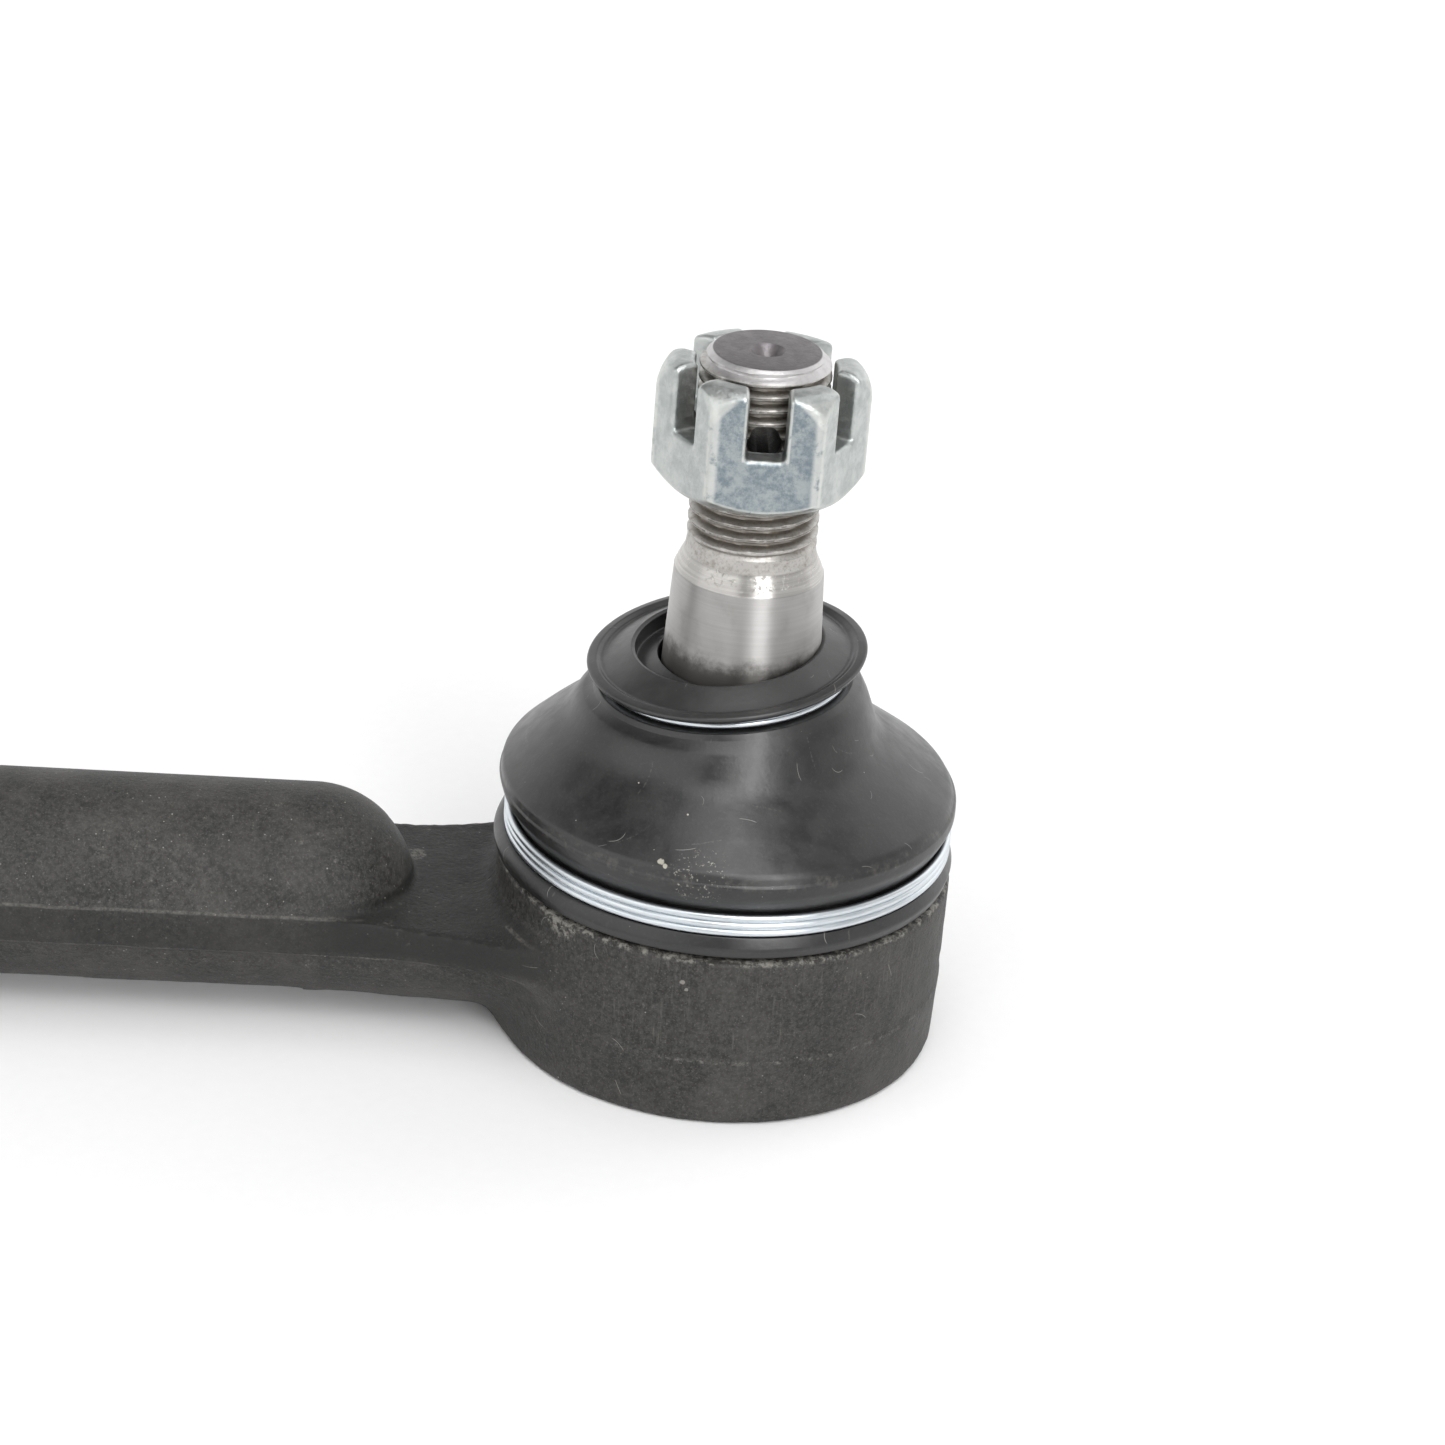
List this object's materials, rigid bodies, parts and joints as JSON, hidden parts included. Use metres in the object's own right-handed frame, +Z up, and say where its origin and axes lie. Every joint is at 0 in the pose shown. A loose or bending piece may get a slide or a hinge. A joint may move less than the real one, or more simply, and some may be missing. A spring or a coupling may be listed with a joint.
{
  "type": "tie rod end",
  "caption": "Outer tie rod end: forged cup on a threaded barrel, leaning and turning ball stud in plastic seats, rubber dust boot with wire clamps, castle nut.",
  "frame": {"origin": "centre of the cup's flat rolled-over base, under the ball", "axes": "+Z up along the upright stud, towards its threaded end; the threaded barrel runs out along -X; +Y across"},
  "size_m": [0.1265, 0.043, 0.0683],
  "materials": {
    "forging": "matt black coating over a rough forged skin",
    "stud_steel": "ground and machined steel",
    "seat_plastic": "natural acetal",
    "spring_steel": "oiled spring wire",
    "cover_steel": "phosphated pressed steel",
    "seal_rubber": "satin black rubber",
    "boot_rubber": "satin black rubber with dust",
    "zinc_wire": "bright zinc-plated wire",
    "zinc_nut": "pale blue zinc plate"
  },
  "bodies": {
    "housing": {"forged_housing": "forging", "cover_plate": "cover_steel", "cover_seal": "seal_rubber", "preload_spring": "spring_steel", "boot_lower_ring": "zinc_wire"},
    "seats_and_boot": {"upper_ball_seat": "seat_plastic", "lower_ball_seat": "seat_plastic", "dust_boot": "boot_rubber"},
    "boot_neck": {"boot_upper_ring": "zinc_wire"},
    "stud": {"ball_stud": "stud_steel"},
    "nut": {"castle_nut": "zinc_nut"}
  },
  "joints": [
    {"name": "lean_direction", "type": "hinge", "parent": "housing", "child": "seats_and_boot", "pos_m": [0, 0, 0.0168], "axis": [0, 0, 1], "continuous": true},
    {"name": "stud_lean", "type": "hinge", "parent": "seats_and_boot", "child": "boot_neck", "pos_m": [0, 0, 0.0168], "axis": [0, 1, 0], "range_deg": [-25, 25], "deforming": ["dust_boot"]},
    {"name": "stud_spin", "type": "hinge", "parent": "boot_neck", "child": "stud", "pos_m": [0, 0, 0.0168], "axis": [0, 0, 1], "continuous": true},
    {"name": "nut_run", "type": "slide", "parent": "stud", "child": "nut", "axis": [0, 0, 1], "range_m": [-0.0035, 0.014]}
  ]
}
